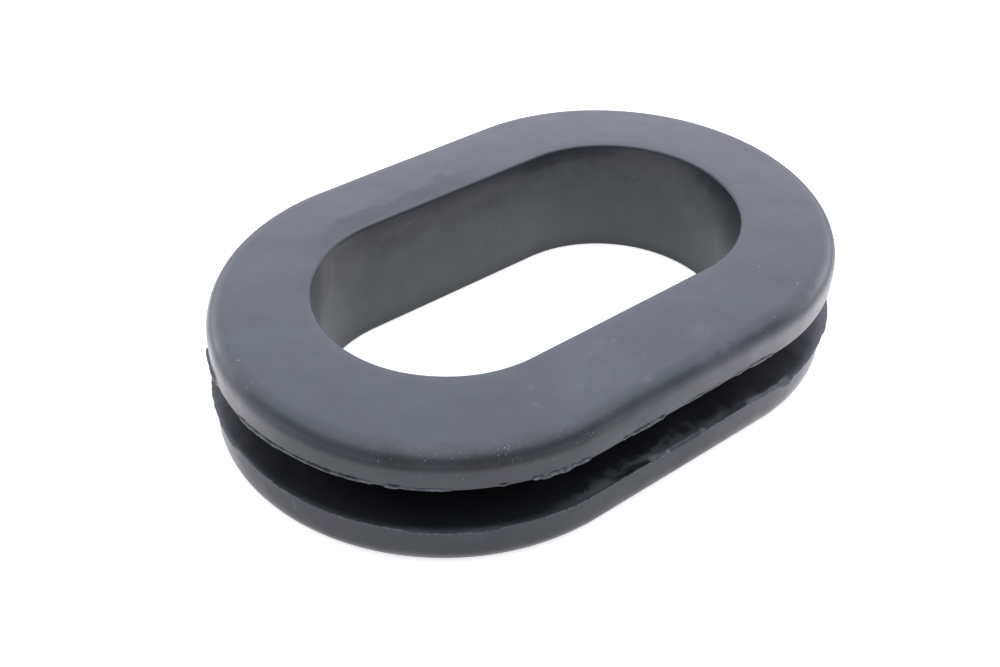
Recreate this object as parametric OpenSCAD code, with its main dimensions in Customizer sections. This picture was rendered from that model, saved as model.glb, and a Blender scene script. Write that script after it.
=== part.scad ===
// Obround rubber grommet, one moulding: two flanges joined by a neck, a panel groove
// all round between them, and an obround cable opening straight through.
// The long axis is X, the underside of the lower flange is z = 0, and the origin is
// at the middle of that underside. Sizes are in millimetres.

/* [Outline] */
// Overall length of both flanges
length = 80; // [67:1:120]
// Overall width of both flanges
width = 54; // [50:1:65]

/* [Cable opening] */
// Width of the opening
opening_width = 30.5; // [16:0.5:36]
// Radius on the opening's top edge
opening_top_radius = 0.3; // [0.1:0.1:1.5]
// Radius on the opening's bottom edge
opening_bottom_radius = 0.5; // [0.1:0.1:1.5]

/* [Panel groove] */
// Height of the groove
groove_height = 6; // [3:0.5:12]
// Wall between the opening and the bottom of the groove
neck_wall = 4.75; // [3:0.25:6]
// Radius in the two inner corners of the groove
groove_radius = 0.6; // [0.1:0.1:0.9]

/* [Flanges] */
// Thickness of the upper flange
upper_thick = 5; // [4.5:0.5:10]
// Thickness of the lower flange
lower_thick = 5; // [4.5:0.5:10]
// Radius on the top edge of the upper flange's rim
upper_rim_radius = 3.2; // [0.5:0.1:4]
// Radius on the bottom edge of the lower flange's rim
lower_rim_radius = 2; // [0.5:0.1:4]

/* [Moulding flash] */
// How far the thin lip of flash stands out of each rim, beside the groove
flash_reach = 0.3; // [0.1:0.1:0.8]
// Thickness of that lip
flash_thick = 0.2; // [0.1:0.1:0.5]

/* [Hidden] */
$fn = 96;
// Distance between the centres of the two round ends
end_spacing = length - width;
rim_half = width / 2;
opening_half = opening_width / 2;
neck_half = opening_half + neck_wall;
upper_z = lower_thick + groove_height;
height = upper_z + upper_thick;
// How far a cutter runs past the surface that it cuts
past = 1;

// What a rounded edge takes off a square corner that sits at the origin, with the
// rubber below it and to its left
module edge_round(radius) {
    difference() {
        translate([-radius, -radius])
            square(radius + past);
        translate([-radius, -radius])
            circle(radius);
    }
}

// What fills an inner corner that sits at the origin, with the gap above it and to
// its right
module corner_fill(radius) {
    difference() {
        square(radius);
        translate([radius, radius])
            circle(radius);
    }
}

// One flange, from the opening out to its rim, with the groove above it
module flange_section(thick, rim_radius, opening_radius) {
    difference() {
        translate([opening_half, 0])
            square([rim_half - opening_half, thick]);
        translate([rim_half, 0])
            mirror([0, 1])
                edge_round(rim_radius);
        translate([opening_half, 0])
            mirror([1, 0])
                mirror([0, 1])
                    edge_round(opening_radius);
    }
    translate([rim_half - flash_thick, thick - flash_thick])
        square([flash_reach + flash_thick, flash_thick]);
    translate([neck_half, thick])
        corner_fill(groove_radius);
}

// Half of the cross-section: x is the distance from the line between the centres of
// the round ends, y is the height
module grommet_section() {
    flange_section(lower_thick, lower_rim_radius, opening_bottom_radius);
    translate([0, height])
        mirror([0, 1])
            flange_section(upper_thick, upper_rim_radius, opening_top_radius);
    translate([opening_half, lower_thick])
        square([neck_wall, groove_height]);
}

// Carries a section round an obround: two half turns and the two straights that join
// them
module round_obround(spacing) {
    for (side = [-1, 1]) {
        translate([side * spacing / 2, 0, 0])
            rotate_extrude(angle = 180, start = -90 * side)
                children();
        translate([-side * spacing / 2, 0, 0])
            rotate([90, 0, 90 * side])
                linear_extrude(spacing)
                    children();
    }
}

module grommet() {
    color([0.25, 0.26, 0.28])
        round_obround(end_spacing)
            grommet_section();
}

grommet();
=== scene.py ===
import math

import bpy
from mathutils import Euler, Matrix, Vector


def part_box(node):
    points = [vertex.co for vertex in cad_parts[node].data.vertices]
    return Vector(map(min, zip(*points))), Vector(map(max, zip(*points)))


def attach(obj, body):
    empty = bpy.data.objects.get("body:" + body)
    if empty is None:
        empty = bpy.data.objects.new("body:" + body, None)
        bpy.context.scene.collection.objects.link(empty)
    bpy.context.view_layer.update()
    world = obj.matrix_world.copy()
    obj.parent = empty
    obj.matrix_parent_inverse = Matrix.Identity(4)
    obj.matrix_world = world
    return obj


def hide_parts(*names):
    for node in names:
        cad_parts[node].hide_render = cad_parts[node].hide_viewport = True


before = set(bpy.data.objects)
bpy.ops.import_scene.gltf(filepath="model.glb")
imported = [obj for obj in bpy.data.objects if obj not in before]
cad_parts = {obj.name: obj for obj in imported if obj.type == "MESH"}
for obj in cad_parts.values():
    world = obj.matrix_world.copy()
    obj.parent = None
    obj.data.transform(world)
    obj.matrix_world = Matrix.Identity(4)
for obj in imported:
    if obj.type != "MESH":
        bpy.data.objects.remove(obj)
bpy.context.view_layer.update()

scene = bpy.context.scene
mm = 0.001


def addNode(tree, kind, **settings):
    node = tree.nodes.new(kind)
    for name, value in settings.items():
        setattr(node, name, value)
    return node


def feed(tree, socket, value):
    # a socket takes either a link or a fixed value
    if isinstance(value, bpy.types.NodeSocket):
        tree.links.new(value, socket)
    elif value is not None:
        socket.default_value = value


def calc(tree, operation, a, b=None, c=None):
    node = addNode(tree, "ShaderNodeMath", operation=operation)
    for socket, value in zip(node.inputs, (a, b, c)):
        feed(tree, socket, value)
    return node.outputs[0]


def product(tree, first, *others):
    for other in others:
        first = calc(tree, "MULTIPLY", first, other)
    return first


def weighed(tree, *pairs):
    # the sum of each value times its share
    total = 0.0
    for value, share in pairs:
        total = calc(tree, "MULTIPLY_ADD", value, share, total)
    return total


def gather(tree, operation, total, part):
    # takes one more part into a running total, which starts as None
    return part if total is None else calc(tree, operation, total, part)


def vectorCalc(tree, operation, a, b=None, scale=None):
    node = addNode(tree, "ShaderNodeVectorMath", operation=operation)
    feed(tree, node.inputs[0], a)
    feed(tree, node.inputs[1], b)
    if scale is not None:
        feed(tree, node.inputs["Scale"], scale)
    return node.outputs["Value" if operation in ("LENGTH", "DOT_PRODUCT") else "Vector"]


def splitVector(tree, vector):
    parts = addNode(tree, "ShaderNodeSeparateXYZ")
    feed(tree, parts.inputs[0], vector)
    return parts.outputs["X"], parts.outputs["Y"], parts.outputs["Z"]


def joinVector(tree, x=None, y=None, z=None):
    whole = addNode(tree, "ShaderNodeCombineXYZ")
    for socket, value in zip(whole.inputs, (x, y, z)):
        feed(tree, socket, value)
    return whole.outputs[0]


def ramp(tree, value, low, high, toLow=0.0, toHigh=1.0, smooth=True):
    node = addNode(tree, "ShaderNodeMapRange", clamp=True,
                   interpolation_type="SMOOTHSTEP" if smooth else "LINEAR")
    for name, given in (("Value", value), ("From Min", low), ("From Max", high),
                        ("To Min", toLow), ("To Max", toHigh)):
        feed(tree, node.inputs[name], given)
    return node.outputs["Result"]


def windowed(tree, value, rise, fall):
    # 1 between the two, fading in over rise and out over fall
    return product(tree, ramp(tree, value, *rise), ramp(tree, value, *fall, 1.0, 0.0))


def noise(tree, vector, size, detail=2.0, roughness=0.5, distortion=0.0):
    # size is the width of one blotch, in metres
    node = addNode(tree, "ShaderNodeTexNoise", noise_dimensions="3D")
    feed(tree, node.inputs["Vector"], vector)
    node.inputs["Scale"].default_value = 1 / size
    node.inputs["Detail"].default_value = detail
    node.inputs["Roughness"].default_value = roughness
    node.inputs["Distortion"].default_value = distortion
    return node.outputs["Fac"]


def roughen(tree, distance, blotches, amount):
    # pushes a distance to and fro, so that an edge drawn from it comes out ragged
    return calc(tree, "MULTIPLY_ADD", calc(tree, "SUBTRACT", blotches, 0.5), amount, distance)


# radii and distances are taken from the line between the centres of the round ends
grommetSize = {
    "openingHalf": 15.25 * mm,
    "neckHalf": 20 * mm,
    "lowerThick": 5 * mm,
    "grooveHeight": 6 * mm,
    "upperThick": 5 * mm,
    "upperRimWide": 2.4 * mm,   # the top turns over into the rim on an ellipse
    "upperRimHigh": 2.5 * mm,
    "topFall": 0.36 * mm,       # the top slopes down this much before it turns over
    "lowerRimRadius": 1.6 * mm,
    "openingTopRadius": 0.3 * mm,
    "openingBottomRadius": 0.5 * mm,
    "grooveRadius": 0.6 * mm,
    "flashReach": 0.3 * mm,
    "flashThick": 0.2 * mm,
    "flashRoot": 0.5 * mm,      # how far in from the rim the flash starts to lift
    "flashBend": 0.12 * mm,     # and where it bends
    # in from the lower rim: where a dipped edge is level again, where a folded ridge starts,
    # is highest and comes down, and where the flange is plain
    "dipEnd": 0.35 * mm,
    "ridgeAt": (0.6 * mm, 1.1 * mm, 1.9 * mm),
    "plainFrom": 3 * mm,
    "quarterSteps": 200,        # points of the path on each quarter turn
    "ringStep": 0.21 * mm,      # spacing of the sections along the path
    "unevenness": 0.08 * mm,
    "seed": 1.0,                # of the torn flash and the unevenness
}


def rimHalfWidth():
    # from the middle line to the rims of the flanges, without the flash
    low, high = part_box("grommet")
    return (high.y - low.y) / 2 - grommetSize["flashReach"]


def endSpacing():
    # between the centres of the round ends
    low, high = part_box("grommet")
    return (high.x - low.x) - (high.y - low.y)


def wallInset():
    # from the rim in to the wall of the opening
    return rimHalfWidth() - grommetSize["openingHalf"]


def spread(start, end, count):
    # points from start up to, but not at, end
    return [(start[0] + (end[0] - start[0]) * i / count,
             start[1] + (end[1] - start[1]) * i / count) for i in range(count)]


def arc(centre, radius, startDegrees, endDegrees, count, high=None):
    # high makes it an ellipse
    points = []
    for i in range(count):
        angle = math.radians(startDegrees + (endDegrees - startDegrees) * i / count)
        points.append((centre[0] + radius * math.cos(angle),
                       centre[1] + (high or radius) * math.sin(angle)))
    return points


def sectionPoints(size, rim):
    # once round the section, starting on the underside beside the opening; each point is
    # (distance out, height, marks), where marks say how far it follows the torn flash
    s = size
    grooveLow = s["lowerThick"]
    grooveHigh = grooveLow + s["grooveHeight"]
    top = grooveHigh + s["upperThick"]
    hole, neck = s["openingHalf"], s["neckHalf"]
    thin, root, bend = s["flashThick"], s["flashRoot"], s["flashBend"]
    points = []

    def add(new, **marks):
        points.extend((x, z, marks) for x, z in new)

    low = s["openingBottomRadius"]
    turn = s["lowerRimRadius"]
    corner = s["grooveRadius"]
    add(spread((hole + low, 0), (rim - turn, 0), 3))
    add(arc((rim - turn, turn), turn, -90, 0, 8))
    add(spread((rim, turn), (rim, grooveLow - 2 * thin), 4))
    add([(rim, grooveLow - 2 * thin)], lowerRim=0.35)
    add([(rim, grooveLow - thin)], lowerGap=1.0, lowerRim=0.8)
    add([(rim, grooveLow - 0.8 * thin), (rim, grooveLow - 0.2 * thin)], lowerTip=1.0, lowerRim=1.0)
    add([(rim - bend, grooveLow)], lowerTip=0.3, lowerRim=0.9)
    add([(rim - s["dipEnd"], grooveLow)], lowerRim=0.05)
    for inward, share in zip(s["ridgeAt"], (0.6, 1.0, 0.7)):
        add([(rim - inward, grooveLow)], lowerRidge=share)
    add(spread((rim - s["plainFrom"], grooveLow), (neck + corner, grooveLow), 3))
    add(arc((neck + corner, grooveLow + corner), corner, 270, 180, 4))
    add(spread((neck, grooveLow + corner), (neck, grooveHigh - corner), 3))
    add(arc((neck + corner, grooveHigh - corner), corner, 180, 90, 4))
    add(spread((neck + corner, grooveHigh), (rim - 2 * root, grooveHigh), 3))
    add([(rim - 2 * root, grooveHigh)])
    add([(rim - root, grooveHigh)], upperRim=0.5)
    add([(rim - bend, grooveHigh)], upperTip=0.3, upperRim=1.0)
    add([(rim, grooveHigh + 0.2 * thin), (rim, grooveHigh + 0.8 * thin)], upperTip=1.0, upperRim=1.0)
    add([(rim, grooveHigh + thin)], upperGap=1.0, upperRim=0.8)
    add([(rim, grooveHigh + 2 * thin)], upperRim=0.35)
    wide, tall, fall = s["upperRimWide"], s["upperRimHigh"], s["topFall"]
    start = top - fall - tall
    add(spread((rim, grooveHigh + 3.5 * thin), (rim, start), 2))
    add(arc((rim - wide, start), wide, 0, 90, 14, tall))
    high = s["openingTopRadius"]
    for i in range(7):
        share = 1 - i / 7       # steepest beside the rim, level beside the opening
        add([(hole + high + (rim - wide - hole - high) * share, top - fall * share ** 2)])
    add(arc((hole + high, top - high), high, 90, 180, 4))
    add(spread((hole, top - high), (hole, low), 7))
    add(arc((hole + low, low), low, 180, 270, 4))
    return points


flashMarks = ("upperTip", "upperGap", "upperRim", "lowerTip", "lowerGap", "lowerRim", "lowerRidge")


def makeSection(size, rim):
    points = sectionPoints(size, rim)
    points.reverse()        # so that the swept faces point outwards
    mesh = bpy.data.meshes.new("grommetSection")
    count = len(points)
    # measured from the rim, where the path runs; the sweep turns a section upside down
    mesh.from_pydata([(x - rim, -z, 0) for x, z, _ in points],
                     [(i, (i + 1) % count) for i in range(count)], [])
    for name in flashMarks:
        attribute = mesh.attributes.new(name, "FLOAT", "POINT")
        for i, (_, _, marks) in enumerate(points):
            attribute.data[i].value = marks.get(name, 0.0)
    section = bpy.data.objects.new("grommetSection", mesh)
    scene.collection.objects.link(section)
    return section


# torn flash on each rim: where it starts and ends, how far it stands out, how far it
# stands up or hangs down, how deep the tear behind it is, and how ragged it is (0 to 1).
# on the lower rim the edge itself goes up or down with it, so that a dip is given here too.
# all in mm; places are measured along the rim from the +X end, anticlockwise from above
tornFlash = {
    "upper": [
        (12.0, 21.0, 0.15, -0.05, 0.10, 0.6),
        (40.0, 47.5, 0.20, -0.10, 0.25, 0.7),
        (62.0, 74.0, 0.15, -0.05, 0.10, 0.5),
        (98.2, 103.6, 0.32, 0.05, 0.05, 0.2),
        (103.6, 104.8, 0.20, -0.15, 0.10, 0.9),
        (110.6, 112.8, 0.15, -0.18, 0.10, 0.3),
        (112.6, 117.2, 0.14, -0.10, 0.42, 0.3),
        (117.2, 120.3, 0.10, -0.04, 0.25, 0.3),
        (120.3, 122.4, 0.12, -0.05, 0.48, 0.2),
        (122.4, 126.4, 0.16, -0.05, 0.35, 0.3),
        (126.4, 128.2, 0.16, -0.03, 0.05, 0.6),
        (129.5, 130.9, 0.12, -0.12, 0.60, 0.2),
        (130.9, 136.3, 0.08, -0.08, 0.05, 0.4),
        (141.2, 141.9, 0.05, -0.05, 0.30, 0.0),
        (144.8, 149.0, 0.16, -0.30, 0.45, 0.5),
        (149.0, 151.4, 0.12, -0.12, 0.15, 0.3),
        (156.0, 158.0, 0.12, -0.06, 0.35, 0.8),
        (158.0, 161.8, 0.18, -0.08, 0.35, 0.4),
        (165.0, 168.4, 0.05, -0.03, 0.12, 1.0),
        (168.6, 171.0, 0.12, -0.06, 0.08, 0.8),
        (172.8, 178.6, 0.14, -0.04, 0.06, 0.8),
        (196.0, 204.0, 0.15, -0.05, 0.15, 0.7),
    ],
    "lower": [
        (25.0, 33.0, 0.15, 0.10, 0.10, 0.6),
        (52.0, 60.0, 0.20, 0.10, 0.15, 0.7),
        (80.0, 100.6, 0.36, 0.06, 0.00, 0.2),
        (100.6, 108.5, 0.24, 0.00, 0.00, 0.2),
        (115.2, 115.8, 0.08, 0.15, 0.00, 0.0),
        (116.2, 119.4, 0.10, 0.08, 0.10, 0.8),
        (119.4, 123.8, 0.05, -0.03, 0.05, 0.5),
        (123.8, 131.3, 0.14, 0.12, 0.05, 0.4),
        (131.7, 141.6, 0.20, -0.10, 0.04, 0.1),
        (146.0, 152.0, 0.08, 0.02, 0.05, 0.8),
        (157.5, 160.4, 0.10, 0.10, 0.05, 0.8),
        (160.8, 163.2, 0.08, -0.14, 0.05, 0.5),
        (163.4, 169.0, 0.00, -0.42, 0.00, 0.25),
        (169.2, 172.0, 0.10, -0.05, 0.05, 0.6),
        (172.0, 176.0, 0.14, 0.10, 0.05, 0.5),
        (176.2, 179.6, 0.05, -0.22, 0.00, 0.4),
        (179.8, 183.6, 0.10, -0.34, 0.00, 0.3),
        (182.0, 193.5, 0.34, 0.00, 0.00, 0.1),
        (193.5, 205.0, 0.52, 0.00, 0.00, 0.1),
        (205.0, 214.0, 0.30, 0.03, 0.05, 0.5),
    ],
}

# places where the lower flange's flash is folded back into a low ridge inside its edge:
# start, end and height in mm
foldedRidges = [
    (147.5, 156.5, 0.12),
    (156.5, 162.0, 0.20),
    (169.5, 177.5, 0.18),
    (208.0, 216.0, 0.20),
    (58.0, 66.0, 0.25),
]

# how the torn flash is drawn from those numbers
flashLook = {
    "softEnd": (0.12, 0.05),    # how soft a patch's ends are: mm, and a share of its length
    "rag": (0.36, 0.58),        # noise levels between which the flash is ragged away
    "ragSize": 0.9 * mm,
    "bridge": (0.43, 0.54),     # and between which the tear behind it is bridged
    "bridgeSize": 0.6 * mm,
    "tornFade": (0.02 * mm, 0.3 * mm),      # reach at which it starts to look torn, and all torn
    "lipFade": (0.01 * mm, 0.08 * mm),      # and the same for its lip, which is painted as a highlight
    "ridgeSoft": 1.4,           # how soft a folded ridge's ends are, in mm
    "ridgeRag": (0.3, 0.6, 0.5, 1.1),       # two noise levels, and its share of its height at each
    "ridgeRagSize": 1.6 * mm,
    "ridgeFade": (0.02 * mm, 0.2 * mm, 0.0, 0.6),
    "unevenSize": 9 * mm,       # of the slow unevenness of the whole moulding
    "evenBelow": (0.1 * mm, 2 * mm),        # which leaves the underside flat
    "sharpAngle": 0.7,          # edges that turn by more than this many radians stay sharp
}


def rimWindow(tree, place, start, end, soft):
    # 1 between start and end, in mm along the rim, and 0 outside
    return windowed(tree, place, ((start - soft) * mm, (start + soft) * mm),
                    ((end - soft) * mm, (end + soft) * mm))


def flashAmounts(tree, place, patches, ragNoise, bridgeNoise):
    # sums the patches into how far out, up and behind the flash goes, in metres
    soft, share = flashLook["softEnd"]
    totals = [None, None, None]
    for start, end, out, up, behind, ragged in patches:
        window = rimWindow(tree, place, start, end, soft + share * (end - start))
        left = product(tree, window, ramp(tree, ragNoise, *flashLook["rag"], 1 - ragged, 1.0))
        for i, amount in enumerate((out, up, behind)):
            totals[i] = gather(tree, "ADD", totals[i], product(tree, left, amount * mm))
    # the tear behind is bridged here and there
    totals[2] = product(tree, totals[2], ramp(tree, bridgeNoise, *flashLook["bridge"], 0.05, 1.1))
    return totals


def sectionMark(tree, name):
    node = addNode(tree, "GeometryNodeInputNamedAttribute", data_type="FLOAT")
    node.inputs["Name"].default_value = name
    return node.outputs["Attribute"]


def tearFlash(tree, place, outward, flat):
    # how the torn flash on both rims moves a point, how torn it is, and how much painted highlight its
    # lip gets
    ragNoise = noise(tree, flat, flashLook["ragSize"], 2.0, 0.6)
    bridgeNoise = noise(tree, flat, flashLook["bridgeSize"], 1.0, 0.5)
    shift, torn, lip = None, None, None
    for side in ("upper", "lower"):
        out, up, behind = flashAmounts(tree, place, tornFlash[side], ragNoise, bridgeNoise)
        tip, gap, edge = [sectionMark(tree, side + mark) for mark in ("Tip", "Gap", "Rim")]
        reach = calc(tree, "SUBTRACT", product(tree, tip, out), product(tree, gap, behind))
        rise = product(tree, tip if side == "upper" else edge, up)
        move = vectorCalc(tree, "SCALE", outward, scale=reach)
        move = vectorCalc(tree, "ADD", move, joinVector(tree, z=rise))
        shift = move if shift is None else vectorCalc(tree, "ADD", shift, move)
        tornPart = product(tree, edge, ramp(tree, out, *flashLook["tornFade"]))
        torn = gather(tree, "ADD", torn, tornPart)
        lipPart = product(tree, ramp(tree, tip, 0.3, 1.0), ramp(tree, out, *flashLook["lipFade"]))
        lip = gather(tree, "ADD", lip, lipPart)
    return shift, torn, lip


def foldRidges(tree, place, flat):
    ridge = None
    for start, end, amount in foldedRidges:
        part = product(tree, rimWindow(tree, place, start, end, flashLook["ridgeSoft"]), amount * mm)
        ridge = gather(tree, "ADD", ridge, part)
    rag = ramp(tree, noise(tree, flat, flashLook["ridgeRagSize"]), *flashLook["ridgeRag"])
    return product(tree, ridge, rag, sectionMark(tree, "lowerRidge"))


def rimPath(tree, rim, spacing, ringStep):
    # an obround along the rim, which keeps each ring's place along it and outward direction
    box = addNode(tree, "GeometryNodeCurvePrimitiveQuadrilateral", mode="RECTANGLE")
    feed(tree, box.inputs["Width"], calc(tree, "MULTIPLY_ADD", rim, 2.0, spacing))
    feed(tree, box.inputs["Height"], calc(tree, "MULTIPLY", rim, 2.0))
    fillet = addNode(tree, "GeometryNodeFilletCurve", mode="POLY")
    feed(tree, fillet.inputs["Curve"], box.outputs["Curve"])
    fillet.inputs["Count"].default_value = grommetSize["quarterSteps"]
    fillet.inputs["Limit Radius"].default_value = True
    feed(tree, fillet.inputs["Radius"], rim)
    resample = addNode(tree, "GeometryNodeResampleCurve", mode="LENGTH")
    feed(tree, resample.inputs["Curve"], fillet.outputs["Curve"])
    feed(tree, resample.inputs["Length"], ringStep)

    keep = addNode(tree, "GeometryNodeCaptureAttribute", domain="POINT")
    keep.capture_items.new("FLOAT", "place")
    keep.capture_items.new("VECTOR", "outward")
    feed(tree, keep.inputs["Geometry"], resample.outputs["Curve"])
    feed(tree, keep.inputs["place"], addNode(tree, "GeometryNodeSplineParameter").outputs["Length"])
    feed(tree, keep.inputs["outward"], addNode(tree, "GeometryNodeInputNormal").outputs["Normal"])
    return keep.outputs["Geometry"], keep.outputs["place"], keep.outputs["outward"]


def makeBodyTree(material):
    tree = bpy.data.node_groups.new("grommetBody", "GeometryNodeTree")
    face = tree.interface
    for name, kind in (("Section", "NodeSocketObject"), ("Rim Half Width", "NodeSocketFloat"),
                       ("End Spacing", "NodeSocketFloat"), ("Ring Step", "NodeSocketFloat"),
                       ("Unevenness", "NodeSocketFloat"), ("Seed", "NodeSocketFloat")):
        face.new_socket(name=name, in_out="INPUT", socket_type=kind)
    face.new_socket(name="Geometry", in_out="OUTPUT", socket_type="NodeSocketGeometry")
    given = addNode(tree, "NodeGroupInput").outputs

    # the section swept along the rim
    path, place, outward = rimPath(tree, given["Rim Half Width"], given["End Spacing"],
                                   given["Ring Step"])
    section = addNode(tree, "GeometryNodeObjectInfo")
    feed(tree, section.inputs["Object"], given["Section"])
    profile = addNode(tree, "GeometryNodeMeshToCurve")
    feed(tree, profile.inputs["Mesh"], section.outputs["Geometry"])
    sweep = addNode(tree, "GeometryNodeCurveToMesh")
    feed(tree, sweep.inputs["Curve"], path)
    feed(tree, sweep.inputs["Profile Curve"], profile.outputs["Curve"])

    # torn flash on both rims, and folded ridges inside the lower flange's edge
    position = addNode(tree, "GeometryNodeInputPosition").outputs["Position"]
    seeded = vectorCalc(tree, "ADD", position, vectorCalc(tree, "SCALE", (1, 1, 1), scale=given["Seed"]))
    flat = vectorCalc(tree, "MULTIPLY", seeded, (1, 1, 0.2))       # changes little with height
    shift, torn, lip = tearFlash(tree, place, outward, flat)
    ridge = foldRidges(tree, place, flat)
    shift = vectorCalc(tree, "ADD", shift, joinVector(tree, z=ridge))
    torn = calc(tree, "ADD", torn, ramp(tree, ridge, *flashLook["ridgeFade"]))

    # the rubber is never quite even
    wave = calc(tree, "SUBTRACT", noise(tree, seeded, flashLook["unevenSize"], 1.0, 0.4), 0.5)
    height = splitVector(tree, position)[2]
    wave = product(tree, wave, given["Unevenness"], ramp(tree, height, *flashLook["evenBelow"]))
    normal = addNode(tree, "GeometryNodeInputNormal").outputs["Normal"]
    shift = vectorCalc(tree, "ADD", shift, vectorCalc(tree, "SCALE", normal, scale=wave))
    shaped = addNode(tree, "GeometryNodeSetPosition")
    feed(tree, shaped.inputs["Geometry"], sweep.outputs["Mesh"])
    feed(tree, shaped.inputs["Offset"], shift)
    made = shaped.outputs["Geometry"]
    for name, value in (("torn", torn), ("lip", lip)):
        store = addNode(tree, "GeometryNodeStoreNamedAttribute", data_type="FLOAT", domain="POINT")
        store.inputs["Name"].default_value = name
        feed(tree, store.inputs["Geometry"], made)
        feed(tree, store.inputs["Value"], value)
        made = store.outputs["Geometry"]

    smooth = addNode(tree, "GeometryNodeSetShadeSmooth", domain="EDGE")
    angle = addNode(tree, "GeometryNodeInputMeshEdgeAngle").outputs["Unsigned Angle"]
    feed(tree, smooth.inputs["Geometry"], made)
    feed(tree, smooth.inputs["Shade Smooth"], calc(tree, "LESS_THAN", angle, flashLook["sharpAngle"]))
    real = addNode(tree, "GeometryNodeRealizeInstances")
    feed(tree, real.inputs["Geometry"], smooth.outputs["Geometry"])
    paint = addNode(tree, "GeometryNodeSetMaterial")
    feed(tree, paint.inputs["Geometry"], real.outputs["Geometry"])
    paint.inputs["Material"].default_value = material
    out = addNode(tree, "NodeGroupOutput")
    feed(tree, out.inputs["Geometry"], paint.outputs["Geometry"])
    return tree


def makeGrommet(size, material):
    section = makeSection(size, rimHalfWidth())
    tree = makeBodyTree(material)
    holder = bpy.data.objects.new("grommetHolder", bpy.data.meshes.new("grommetHolder"))
    scene.collection.objects.link(holder)
    modifier = holder.modifiers.new("body", "NODES")
    modifier.node_group = tree
    values = {"Section": section, "Rim Half Width": rimHalfWidth(), "End Spacing": endSpacing(),
              "Ring Step": size["ringStep"], "Unevenness": size["unevenness"], "Seed": size["seed"]}
    for item in tree.interface.items_tree:
        if item.in_out == "INPUT":
            modifier[item.identifier] = values[item.name]
    bpy.context.view_layer.update()
    shaped = holder.evaluated_get(bpy.context.evaluated_depsgraph_get())
    mesh = bpy.data.meshes.new_from_object(shaped)
    holder.modifiers.remove(modifier)
    for helper in (holder, section):
        bpy.data.objects.remove(helper)
    mesh.name = "rubberGrommet"
    for name in flashMarks:
        mesh.attributes.remove(mesh.attributes[name])
    piece = bpy.data.objects.new("rubberGrommet", mesh)
    scene.collection.objects.link(piece)
    return piece


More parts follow.
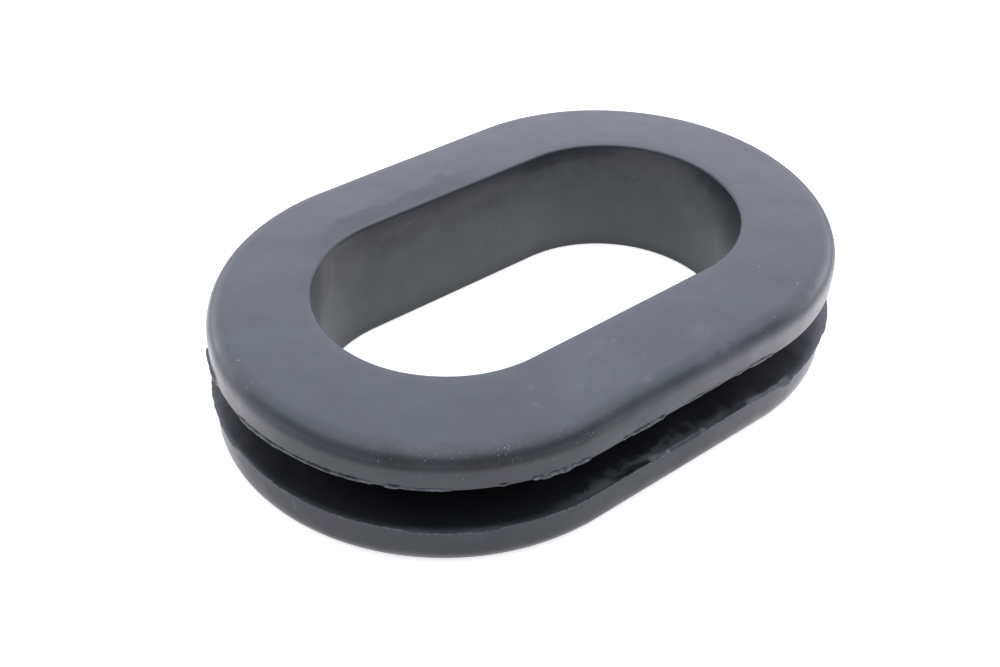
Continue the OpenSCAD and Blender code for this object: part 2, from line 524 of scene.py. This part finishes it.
# heights are above the underside, along is X and across is Y, and outside is measured from
# the flanges' rims. a pair is the stretch over which something comes in or goes out, and two
# pairs are where it comes in and where it goes out again. patches are two noise levels, and
# where they aren't none and all, how much there is at each
rubberFinish = {
    # slow clouds, finer blotches and the finest ones: size, detail, roughness, distortion
    "cloud": (11 * mm, 3.0, 0.55, 0.6),
    "blotch": (2.6 * mm, 3.0, 0.55, 0.4),
    "fine": (0.8 * mm, 3.0, 0.6),
    # two casts of the black, which drift into one another
    "teal": (0.034, 0.043, 0.047, 1),
    "violet": (0.053, 0.047, 0.059, 1),
    "castFade": (0.49, 0.72),
    "farWay": (0.64, 0.77, 0),          # painted sheen: paler and more violet this way, away from the camera
    "farFade": (-26 * mm, 20 * mm),
    "farSheenShare": 0.14,
    "ragged": 6 * mm,                   # how far the edges of dull and worn places wander
    "ring": (0.012, 0.015, 0.021, 1),   # dull, beside the back of the opening, and in smudges; also the painted shade on the opening's wall
    "ringWidth": (2.6 * mm, 4.4 * mm),
    "ringStart": (0.2 * mm, 1.5 * mm),
    "ringHeight": (15.5 * mm, 15.9 * mm),
    "ringAlong": ((-24 * mm, -14 * mm), (0.0, 9 * mm)),
    "ringBack": (8 * mm, 14 * mm),
    "ringShare": 0.7,
    "wall": (0.030, 0.044, 0.050, 1),   # of the opening
    "wallShare": 0.85,
    "wallWithin": 0.25 * mm,            # what is this close to the wall counts as wall
    "wallShadeHeight": (8 * mm, 15.5 * mm),
    "wallShadeFar": (-11 * mm, -5 * mm),
    "turn": (0.020, 0.020, 0.018, 1),   # painted shade where the front of the top turns over into the rim
    "turnHeight": ((13.2 * mm, 13.8 * mm), (15.2 * mm, 15.6 * mm)),
    "turnInside": 3 * mm,
    "turnPatches": (0.42, 0.58, 0.3, 0.95),
    "turnAlong": (-19 * mm, -8 * mm),
    "turnAcross": (-18 * mm, -8 * mm),
    "grooveShade": (0.009, 0.010, 0.012, 1),      # painted shade deep in the groove
    "grooveShadeHeight": ((4.7 * mm, 5 * mm), (11 * mm, 11.2 * mm)),
    "grooveShadeOutside": ((-10 * mm, -9 * mm), (-0.9 * mm, -0.1 * mm)),
    "tornEdge": (0.068, 0.075, 0.076, 1),       # paler where the flash is torn, and on the worn strip, which is also painted light
    "tornPatches": (0.35, 0.6),
    "lip": (0.14, 0.145, 0.15, 1),      # painted highlight on the thin outer edge of the flash
    "lipPatches": (0.42, 0.62, 0.08, 1.0),
    "lipPatchSize": 0.45 * mm,
    # a worn strip, painted lighter where light reaches it, and a crack painted with its shadow, on the
    # lower face of the groove, at the front
    "stripEdge": (-1.8 * mm, -0.8 * mm),
    "stripHeight": ((4.7 * mm, 4.9 * mm), (5.5 * mm, 5.8 * mm)),
    "stripAlong": ((-20 * mm, -13 * mm), (-3 * mm, 12 * mm)),
    "stripOutside": ((-4 * mm, -3.5 * mm), (-0.4 * mm, 0.1 * mm)),
    # painted shadow inside a crack behind the folded flash
    "crackShadow": (0.002, 0.002, 0.002, 1),
    "crackRagged": 0.9 * mm,
    "crackOutside": ((-0.85 * mm, -0.7 * mm), (-0.2 * mm, 0.0)),
    "crackHeight": ((4.6 * mm, 4.8 * mm), (5.5 * mm, 5.8 * mm)),
    "crackAlong": ((-11.5 * mm, -10 * mm), (-6 * mm, -5 * mm)),
    # pale scuffs, and the painted reflections on the rims
    "scuffAndSheen": (0.120, 0.132, 0.150, 1),
    "markHigh": 1.2 * mm,               # scuffs and smudges reach this far up and down
    "markPatches": (0.38, 0.62, 0.25, 1.0),
    "dust": (0.62, 0.63, 0.64, 1),
    # specks: spacing, radius, share of places that have one on the rounded edge of the
    # upper flange, and elsewhere
    "fineSpecks": (0.34 * mm, 0.045 * mm, 0.35, 0.0015),
    "bigSpecks": (0.9 * mm, 0.070 * mm, 0.12, 0.0025),
    "grit": 0.15 * mm,
    "gritPatches": (0.66, 0.76),
    "gritShare": 0.8,
    "drift": 2.2 * mm,                  # dust lies in drifts of this size
    "driftPatches": (0.47, 0.66),
    "dustHeight": ((12.2 * mm, 13.2 * mm), (15.35 * mm, 15.65 * mm)),
    "dustiest": (-24 * mm, -24 * mm, 14.5 * mm),    # where most of the dust has gathered
    "dustiestReach": (5.1 * mm, 17 * mm, 1.0, 0.22),        # near, far, and how much at each
    "roughness": 0.42,
    "roughnessChange": 0.10,
    "tornDull": 0.08,                   # how much rougher torn, scuffed and dull places are
    "scuffAndSheenDull": 0.2,
    "ringDull": 0.1,
    "dustDull": 0.9,
    "specular": 0.85,
    "skin": 0.45,                       # the skin shines more when seen along the surface
    "skinRoughness": 0.26,
    "skinIndex": 1.4,
    # relief: size and depth of the slow waves, the pebbling and the grain
    "wave": (5 * mm, 0.18 * mm),
    "pebble": (1.5 * mm, 0.035 * mm),
    "grain": (0.22 * mm, 0.006 * mm),
}

# pale scuffs, and painted reflections on the rims: middle, length, width, turn in degrees and strength;
# lengths in mm
scuffsAndSheens = [
    ((-9.8, -22.0, 16.0), 17.0, 10.0, 5, 0.40),
    ((-8.5, -18.8, 16.0), 12.0, 6.0, 5, 0.35),
    # a dusty film where the top begins to turn over
    ((-30.0, -19.3, 15.7), 9.0, 2.4, -50, 0.40),
    ((-24.0, -23.2, 15.7), 9.0, 2.4, -28, 0.40),
    ((-16.5, -25.4, 15.7), 9.0, 2.4, -10, 0.40),
    ((6.0, -25.9, 15.0), 16.0, 3.4, 0, 0.55),
    # smaller ones here and there
    ((-6.0, -18.2, 16.0), 4.0, 2.4, 20, 0.45),
    ((-16.3, -19.0, 16.0), 1.8, 1.0, 40, 0.70),
    ((-17.6, -21.3, 16.0), 2.1, 1.0, 110, 0.60),
    ((-4.5, -18.6, 16.0), 2.2, 1.4, 20, 0.60),
    ((-5.6, -25.0, 15.2), 2.4, 1.4, 10, 0.80),
    ((4.3, -22.9, 16.0), 7.0, 4.0, 0, 0.35),
    ((-27.4, 4.6, 15.4), 7.5, 1.8, 72, 0.60),
    ((-26.2, 7.6, 15.2), 4.0, 1.6, 60, 0.50),
    ((5.0, 24.0, 16.0), 9.0, 2.5, 5, 0.30),
    ((-40.0, 3.0, 15.0), 3.0, 1.2, 85, 0.50),
    ((27.0, 14.0, 16.0), 8.0, 4.0, -40, 0.30),
    # on the upper flash near the -X end
    ((-38.3, 9.7, 11.1), 6.5, 3.0, 69, 0.80),
    # painted reflection: paler stretches of the upper rim and the lower one
    ((-11.0, -27.0, 11.8), 9.0, 2.4, 0, 0.80),
    ((-4.0, -27.0, 11.8), 11.0, 2.4, 0, 0.90),
    ((5.0, -27.0, 11.8), 10.0, 2.4, 0, 0.60),
    ((-4.0, -27.0, 4.0), 9.0, 2.4, 0, 0.35),
    ((7.5, -27.0, 3.6), 8.0, 2.4, 0, 0.30),
    ((-27.0, -23.0, 4.0), 5.0, 2.4, -32, 0.35),
    # scratches down the lower rim
    ((-38.9, -7.6, 3.6), 0.5, 3.0, 106, 1.0),
    ((-12.7, -27.0, 3.2), 0.5, 3.0, 0, 0.8),
]

# darker smudges, given the same way
smudges = [
    ((-26.4, 6.4, 15.4), 3.6, 1.5, 80, 0.8),
    ((-25.6, 9.6, 16.0), 3.2, 1.8, 60, 0.6),
    ((-23.6, 11.6, 16.0), 2.4, 1.5, 40, 0.5),
    ((-8.0, 19.5, 16.0), 7.0, 2.4, 8, 0.5),
    ((-33.5, 10.0, 16.0), 9.0, 6.0, 60, 0.25),
    ((-21.0, -19.0, 16.0), 12.0, 5.0, -35, 0.25),
]


def outsideRim(tree, place):
    # how far a place is outside the rim of the flanges, in metres; negative inside it
    along, across = splitVector(tree, place)[:2]
    pastEnd = calc(tree, "SUBTRACT", calc(tree, "ABSOLUTE", along), endSpacing() / 2)
    fromMiddle = joinVector(tree, calc(tree, "MAXIMUM", pastEnd, 0.0), across)
    return calc(tree, "SUBTRACT", vectorCalc(tree, "LENGTH", fromMiddle), rimHalfWidth())


def mixColour(tree, share, first, second):
    node = addNode(tree, "ShaderNodeMix", data_type="RGBA")
    feed(tree, node.inputs["Factor"], share)
    for socket, value in ((node.inputs[6], first), (node.inputs[7], second)):
        feed(tree, socket, value)
    return node.outputs[2]


def markShare(tree, place, marks, ragged, finish):
    total = None
    for middle, length, width, turn, strength in marks:
        local = addNode(tree, "ShaderNodeMapping", vector_type="TEXTURE")
        feed(tree, local.inputs["Vector"], place)
        local.inputs["Location"].default_value = [c * mm for c in middle]
        local.inputs["Rotation"].default_value = (0, 0, math.radians(turn))
        local.inputs["Scale"].default_value = (length / 2 * mm, width / 2 * mm, finish["markHigh"])
        near = ramp(tree, vectorCalc(tree, "LENGTH", local.outputs[0]), 0.2, 1.0, strength, 0.0)
        total = gather(tree, "MAXIMUM", total, near)
    return product(tree, total, ramp(tree, ragged, *finish["markPatches"]))


def dustShare(tree, place, height, finish):
    # a few specks everywhere, and more where the top turns over into the rim
    away = vectorCalc(tree, "LENGTH", vectorCalc(tree, "SUBTRACT", place, finish["dustiest"]))
    edge = product(tree, windowed(tree, height, *finish["dustHeight"]),
                   ramp(tree, away, *finish["dustiestReach"]))
    drift = ramp(tree, noise(tree, place, finish["drift"], 2.0, 0.6), *finish["driftPatches"])
    dust = None
    for kind in ("fineSpecks", "bigSpecks"):
        spacing, radius, most, least = finish[kind]
        cells = addNode(tree, "ShaderNodeTexVoronoi", feature="F1")
        feed(tree, cells.inputs["Vector"], place)
        cells.inputs["Scale"].default_value = 1 / spacing
        size = radius / spacing
        speck = ramp(tree, cells.outputs["Distance"], 0.7 * size, 1.3 * size, 1.0, 0.0)
        chance = addNode(tree, "ShaderNodeSeparateColor")
        feed(tree, chance.inputs[0], cells.outputs["Color"])
        chances = calc(tree, "MULTIPLY_ADD", product(tree, edge, drift), most, least)
        has = calc(tree, "LESS_THAN", chance.outputs[0], chances)
        part = product(tree, speck, has, ramp(tree, chance.outputs[1], 0, 1, 0.3, 1.0))
        dust = gather(tree, "MAXIMUM", dust, part)
    # finer grit in drifts between them
    grit = ramp(tree, noise(tree, place, finish["grit"], 1.0, 0.6), *finish["gritPatches"])
    return calc(tree, "MAXIMUM", dust, product(tree, grit, drift, edge, finish["gritShare"]))


def addRelief(tree, place, kinds, finish):
    # one bump over another, slowest first
    normal = None
    for kind in kinds:
        size, depth = finish[kind]
        relief = addNode(tree, "ShaderNodeBump")
        relief.inputs["Strength"].default_value = 1.0
        relief.inputs["Distance"].default_value = depth
        feed(tree, relief.inputs["Height"], noise(tree, place, size, 1.0, 0.4))
        if normal:
            tree.links.new(normal, relief.inputs["Normal"])
        normal = relief.outputs[0]
    return normal


def dullRing(tree, outside, along, across, height, blotch, finish):
    # a duller stretch of the top along the back of the opening, with a ragged edge
    beside = calc(tree, "ADD", outside, wallInset())
    ring = ramp(tree, roughen(tree, beside, blotch, finish["ragged"]), *finish["ringWidth"], 1.0, 0.0)
    return product(tree, ring, ramp(tree, beside, *finish["ringStart"], 0.2, 1.0),
                   ramp(tree, height, *finish["ringHeight"]),
                   windowed(tree, along, *finish["ringAlong"]),
                   ramp(tree, across, *finish["ringBack"]))


def wornLitStrip(tree, outside, along, height, front, blotch, finish):
    # a worn strip along the front edge of the groove's lower face, painted lighter where light reaches
    # it
    strip = ramp(tree, roughen(tree, outside, blotch, finish["ragged"]), *finish["stripEdge"])
    return product(tree, strip, windowed(tree, height, *finish["stripHeight"]),
                   windowed(tree, along, *finish["stripAlong"]), front,
                   windowed(tree, outside, *finish["stripOutside"]))


def paintedCrackShadow(tree, outside, along, height, front, fine, finish):
    # a ragged dark line, the painted shadow inside the crack
    ragged = roughen(tree, outside, fine, finish["crackRagged"])
    return product(tree, windowed(tree, ragged, *finish["crackOutside"]),
                   windowed(tree, height, *finish["crackHeight"]),
                   windowed(tree, along, *finish["crackAlong"]), front)


def makeRubber(finish):
    material = bpy.data.materials.new("blackRubber")
    material.use_nodes = True
    tree = material.node_tree
    shader = tree.nodes["Principled BSDF"]
    place = addNode(tree, "ShaderNodeTexCoord").outputs["Object"]
    along, across, height = splitVector(tree, place)
    outside = outsideRim(tree, place)
    front = calc(tree, "LESS_THAN", across, 0.0)
    cloud, blotch, fine = [noise(tree, place, *finish[kind]) for kind in ("cloud", "blotch", "fine")]

    # slow clouds and finer blotches, and a painted sheen that turns the far side paler and more violet
    tone = weighed(tree, (cloud, 0.45), (blotch, 0.35), (fine, 0.2))
    away = vectorCalc(tree, "DOT_PRODUCT", place, finish["farWay"])
    far = ramp(tree, away, *finish["farFade"], smooth=False)
    cast = calc(tree, "MULTIPLY_ADD", far, finish["farSheenShare"], tone)
    colour = mixColour(tree, ramp(tree, cast, *finish["castFade"]), finish["teal"], finish["violet"])

    # the opening's wall has a cooler cast, and painted shade darkens it most under the far edge
    wall = calc(tree, "LESS_THAN", outside, finish["wallWithin"] - wallInset())
    colour = mixColour(tree, product(tree, wall, finish["wallShare"]), colour, finish["wall"])
    drop = roughen(tree, height, blotch, finish["ragged"])
    shade = product(tree, wall, ramp(tree, drop, *finish["wallShadeHeight"]),
                    ramp(tree, away, *finish["wallShadeFar"]))
    ring = dullRing(tree, outside, along, across, height, blotch, finish)
    ringAndWallShade = calc(tree, "MAXIMUM", product(tree, ring, finish["ringShare"]), shade)
    colour = mixColour(tree, ringAndWallShade, colour, finish["ring"])

    # painted shade, in patches, where the front of the top turns over
    patches = weighed(tree, (cloud, 0.5), (blotch, 0.5))
    turn = product(tree, windowed(tree, height, *finish["turnHeight"]),
                   calc(tree, "GREATER_THAN", outside, -finish["turnInside"]),
                   ramp(tree, patches, *finish["turnPatches"]),
                   ramp(tree, along, *finish["turnAlong"], 1.0, 0.0),
                   ramp(tree, across, *finish["turnAcross"], 1.0, 0.0))
    colour = mixColour(tree, turn, colour, finish["turn"])

    torn = addNode(tree, "ShaderNodeAttribute", attribute_name="torn").outputs["Fac"]
    tornShare = product(tree, torn, ramp(tree, fine, *finish["tornPatches"]))
    colour = mixColour(tree, tornShare, colour, finish["tornEdge"])

    # painted shade deep in the groove, apart from a worn strip with painted light and a crack with
    # painted shadow
    grooveShade = product(tree, windowed(tree, height, *finish["grooveShadeHeight"]),
                        windowed(tree, outside, *finish["grooveShadeOutside"]))
    colour = mixColour(tree, grooveShade, colour, finish["grooveShade"])
    strip = wornLitStrip(tree, outside, along, height, front, blotch, finish)
    colour = mixColour(tree, strip, colour, finish["tornEdge"])
    crackShadow = paintedCrackShadow(tree, outside, along, height, front, fine, finish)
    colour = mixColour(tree, crackShadow, colour, finish["crackShadow"])

    ragged = weighed(tree, (blotch, 0.5), (fine, 0.5))
    smudged = markShare(tree, place, smudges, ragged, finish)
    colour = mixColour(tree, smudged, colour, finish["ring"])
    # a painted highlight along the flash's lip, in patches
    lip = addNode(tree, "ShaderNodeAttribute", attribute_name="lip").outputs["Fac"]
    lipPatches = noise(tree, place, finish["lipPatchSize"], 1.0)
    lip = product(tree, lip, ramp(tree, lipPatches, *finish["lipPatches"]))
    colour = mixColour(tree, lip, colour, finish["lip"])
    scuffAndSheenShare = markShare(tree, place, scuffsAndSheens, ragged, finish)
    colour = mixColour(tree, scuffAndSheenShare, colour, finish["scuffAndSheen"])
    dust = dustShare(tree, place, height, finish)
    colour = mixColour(tree, dust, colour, finish["dust"])
    tree.links.new(colour, shader.inputs["Base Color"])

    # matt moulded skin, duller where it is scuffed, torn or dusty
    middle, change = finish["roughness"], finish["roughnessChange"]
    matt = ramp(tree, tone, 0.38, 0.62, middle - change / 2, middle + change / 2)
    for share, more in ((torn, "tornDull"), (scuffAndSheenShare, "scuffAndSheenDull"), (ring, "ringDull")):
        matt = calc(tree, "MULTIPLY_ADD", share, finish[more], matt)
    matt = calc(tree, "MAXIMUM", matt, product(tree, dust, finish["dustDull"]))
    tree.links.new(matt, shader.inputs["Roughness"])
    shader.inputs["Specular IOR Level"].default_value = finish["specular"]
    shader.inputs["Coat Weight"].default_value = finish["skin"]
    shader.inputs["Coat Roughness"].default_value = finish["skinRoughness"]
    shader.inputs["Coat IOR"].default_value = finish["skinIndex"]

    # the skin doesn't follow the finest grain
    relief = addRelief(tree, place, ("wave", "pebble", "grain"), finish)
    tree.links.new(relief, shader.inputs["Normal"])
    relief = addRelief(tree, place, ("wave", "pebble"), finish)
    tree.links.new(relief, shader.inputs["Coat Normal"])
    return material


rubber = makeRubber(rubberFinish)
print("rubber made")
grommet = makeGrommet(grommetSize, rubber)
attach(grommet, "root")
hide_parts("grommet")
print("grommet made:", len(grommet.data.polygons), "faces")

cameraView = {
    "azimuth": -39.73,
    "elevation": 38.97,
    "roll": 1.51,
    "distance": 168.4 * mm,
    "aim": (-0.75 * mm, 5.02 * mm, 0),
    "lens": 47.6,
    "sensor": 36,
    "clip": (0.005, 50),
}


def viewSides():
    # level directions towards the camera and to its right
    azimuth = math.radians(cameraView["azimuth"])
    return (Vector((math.sin(azimuth), -math.cos(azimuth), 0)),
            Vector((math.cos(azimuth), math.sin(azimuth), 0)))


def makeCamera(view):
    data = bpy.data.cameras.new("studioCamera")
    data.lens = view["lens"]
    data.sensor_width = view["sensor"]
    data.clip_start, data.clip_end = view["clip"]
    camera = bpy.data.objects.new("studioCamera", data)
    scene.collection.objects.link(camera)
    azimuth, elevation = math.radians(view["azimuth"]), math.radians(view["elevation"])
    back = viewSides()[0] * math.cos(elevation) + Vector((0, 0, math.sin(elevation)))
    turn = Euler((math.pi / 2 - elevation, 0, azimuth)).to_matrix().to_4x4()
    roll = Matrix.Rotation(math.radians(view["roll"]), 4, "Z")
    place = Matrix.Translation(Vector(view["aim"]) + view["distance"] * back)
    camera.matrix_world = place @ turn @ roll
    scene.camera = camera


floorSize = {
    "half": 4.0,
    "below": 0.02 * mm,         # a hair under the object
    "paper": (0.85, 0.84, 0.87, 1),
    "shown": 0.7,               # extra white that only the camera sees
    # how white reflections see it, near the object and far off
    "mirrored": (0.94, 0.31),
    "sides": (1.78, 0.9),       # and the same to the left and right
    "mirroredColour": (0.99, 0.98, 1.04, 1),
    "mirroredFade": (72 * mm, 98 * mm),
    "frontNearer": 24 * mm,     # in front the fade starts this much sooner
    "frontFade": (0.2, 0.8),    # from the sides to the front, as the cosine of the turn
    "sidesFade": (0.15, 0.75),
    "shaded": 0.58,             # how white it is there close to the object
    "shadedReach": (3 * mm, 8 * mm),
    "shadedInside": 3 * mm,     # and how far in from the opening's wall
    "insideFade": (-0.1, 0.3),
    "glow": 1.15,               # and right under the object's edge
    "glowReach": ((-0.8 * mm, -0.2 * mm), (0.4 * mm, 1.6 * mm)),
}


def mirroredWhite(tree, size):
    # a lit patch round the object, which fades out further off and is dimmer close to it
    place = addNode(tree, "ShaderNodeTexCoord").outputs["Object"]
    away = vectorCalc(tree, "LENGTH", place)
    toward = vectorCalc(tree, "DOT_PRODUCT", place, viewSides()[0])
    front = calc(tree, "DIVIDE", toward, calc(tree, "MAXIMUM", away, mm))
    outside = outsideRim(tree, place)
    isOutside = calc(tree, "GREATER_THAN", outside, -wallInset())
    side = ramp(tree, calc(tree, "ABSOLUTE", front), *size["sidesFade"], 1.0, 0.0)
    side = product(tree, side, isOutside)
    away = calc(tree, "ADD", away, ramp(tree, front, *size["frontFade"], 0.0, size["frontNearer"]))
    fade = ramp(tree, away, *size["mirroredFade"])
    near, far = [calc(tree, "MULTIPLY_ADD", side, beside - plain, plain)
                 for beside, plain in zip(size["sides"], size["mirrored"])]
    white = calc(tree, "MULTIPLY_ADD", fade, calc(tree, "SUBTRACT", far, near), near)
    glow = windowed(tree, outside, *size["glowReach"])
    shade = ramp(tree, outside, *size["shadedReach"], size["shaded"], 1.0)
    shade = calc(tree, "MULTIPLY_ADD", glow, size["glow"] - size["shaded"], shade)
    within = calc(tree, "MULTIPLY_ADD", outside, -1.0, -wallInset())
    dim = ramp(tree, within, 0.0, size["shadedInside"], 1 - size["shaded"], 0.0)
    dim = product(tree, dim, ramp(tree, front, *size["insideFade"], 1.0, 0.0))
    inside = product(tree, calc(tree, "SUBTRACT", 1.0, dim), calc(tree, "SUBTRACT", 1.0, isOutside))
    shade = calc(tree, "ADD", product(tree, shade, isOutside), inside)
    return product(tree, white, shade)


def makeFloor(size):
    mesh = bpy.data.meshes.new("studioFloor")
    half, low = size["half"], -size["below"]
    mesh.from_pydata([(-half, -half, low), (half, -half, low), (half, half, low), (-half, half, low)],
                     [], [(0, 1, 2, 3)])
    floor = bpy.data.objects.new("studioFloor", mesh)
    scene.collection.objects.link(floor)
    material = bpy.data.materials.new("whiteFloor")
    material.use_nodes = True
    tree = material.node_tree
    tree.nodes.clear()
    path = addNode(tree, "ShaderNodeLightPath")
    # white paper, and a little whiter still to the camera
    diffuse = addNode(tree, "ShaderNodeBsdfDiffuse")
    diffuse.inputs["Color"].default_value = size["paper"]
    shown = addNode(tree, "ShaderNodeEmission")
    feed(tree, shown.inputs["Strength"], product(tree, path.outputs["Is Camera Ray"], size["shown"]))
    paper = addNode(tree, "ShaderNodeAddShader")
    feed(tree, paper.inputs[0], diffuse.outputs[0])
    feed(tree, paper.inputs[1], shown.outputs[0])
    mirrored = addNode(tree, "ShaderNodeEmission")
    mirrored.inputs["Color"].default_value = size["mirroredColour"]
    feed(tree, mirrored.inputs["Strength"], mirroredWhite(tree, size))
    mix = addNode(tree, "ShaderNodeMixShader")
    feed(tree, mix.inputs[0], path.outputs["Is Glossy Ray"])
    feed(tree, mix.inputs[1], paper.outputs[0])
    feed(tree, mix.inputs[2], mirrored.outputs[0])
    # clear from below, so that the underside can be looked at
    seen = addNode(tree, "ShaderNodeMixShader")
    feed(tree, seen.inputs[0], addNode(tree, "ShaderNodeNewGeometry").outputs["Backfacing"])
    feed(tree, seen.inputs[1], mix.outputs[0])
    feed(tree, seen.inputs[2], addNode(tree, "ShaderNodeBsdfTransparent").outputs[0])
    out = addNode(tree, "ShaderNodeOutputMaterial")
    feed(tree, out.inputs["Surface"], seen.outputs[0])
    mesh.materials.append(material)


# a white tent round the object, with a dark gap on the camera's side. heights are in
# degrees above the floor, turns in degrees round from the camera's side, + to the right
studioLight = {
    "tent": 1.11,
    "tentColour": (0.945, 0.98, 1.14, 1),
    "gap": 0.89,                # how much of the tent's light the gap takes away
    "gapBottom": (2, 8),        # heights between which the gap fades in
    "gapTop": (33, 49),
    "gapLeft": (-116, -82),
    "gapRight": (84, 116),
    # brighter patches of the tent: height, turn, width, how much brighter
    "backPatch": (35, 180, 28, 0.40),
    "rightPatch": (2, 118, 15, 2.2),
    "leftPatch": (2, -120, 15, 1.8),
    "frontPatch": (22, -58, 30, 0.13),
    "topPatch": (75, 0, 24, 0.5),
    "patchColour": (0.99, 0.98, 1.08, 1),
    "clean": (1, 1, 1, 1),      # what the camera sees past the floor
}


def patchGlow(tree, coords, light):
    toward, right = viewSides()
    glow = None
    for patch in ("backPatch", "rightPatch", "leftPatch", "frontPatch", "topPatch"):
        height, around, width, amount = light[patch]
        height, around = math.radians(height), math.radians(around)
        flat = toward * math.cos(around) + right * math.sin(around)
        middle = flat * math.cos(height) + Vector((0, 0, math.sin(height)))
        near = vectorCalc(tree, "DOT_PRODUCT", coords, middle)
        sharp = math.log(2) / (1 - math.cos(math.radians(width)))     # half as bright at its width
        part = calc(tree, "EXPONENT", product(tree, calc(tree, "SUBTRACT", near, 1.0), sharp))
        glow = gather(tree, "ADD", glow, product(tree, part, amount))
    return glow


def makeWorld(light):
    world = bpy.data.worlds.new("studioWorld")
    scene.world = world
    world.use_nodes = True
    tree = world.node_tree
    tree.nodes.clear()
    coords = addNode(tree, "ShaderNodeTexCoord").outputs["Generated"]
    rise = calc(tree, "DEGREES", calc(tree, "ARCSINE", splitVector(tree, coords)[2]))
    toward, right = viewSides()
    turn = calc(tree, "ARCTAN2", vectorCalc(tree, "DOT_PRODUCT", coords, right),
                vectorCalc(tree, "DOT_PRODUCT", coords, toward))
    turn = calc(tree, "DEGREES", turn)
    gap = product(tree, ramp(tree, rise, *light["gapBottom"], 0.0, light["gap"]),
                  ramp(tree, rise, *light["gapTop"], 1.0, 0.0),
                  windowed(tree, turn, light["gapLeft"], light["gapRight"]))
    tent = addNode(tree, "ShaderNodeBackground")
    tent.inputs["Color"].default_value = light["tentColour"]
    left = calc(tree, "SUBTRACT", 1.0, gap)
    feed(tree, tent.inputs["Strength"], product(tree, left, light["tent"]))

    patches = addNode(tree, "ShaderNodeBackground")
    patches.inputs["Color"].default_value = light["patchColour"]
    feed(tree, patches.inputs["Strength"], patchGlow(tree, coords, light))
    lit = addNode(tree, "ShaderNodeAddShader")
    feed(tree, lit.inputs[0], tent.outputs[0])
    feed(tree, lit.inputs[1], patches.outputs[0])

    clean = addNode(tree, "ShaderNodeBackground")
    clean.inputs["Color"].default_value = light["clean"]
    mix = addNode(tree, "ShaderNodeMixShader")
    feed(tree, mix.inputs[0], addNode(tree, "ShaderNodeLightPath").outputs["Is Camera Ray"])
    feed(tree, mix.inputs[1], lit.outputs[0])
    feed(tree, mix.inputs[2], clean.outputs[0])
    out = addNode(tree, "ShaderNodeOutputWorld")
    feed(tree, out.inputs["Surface"], mix.outputs[0])


makeCamera(cameraView)
makeFloor(floorSize)
makeWorld(studioLight)
scene.view_settings.view_transform = "Standard"
print("floor, light and camera placed")
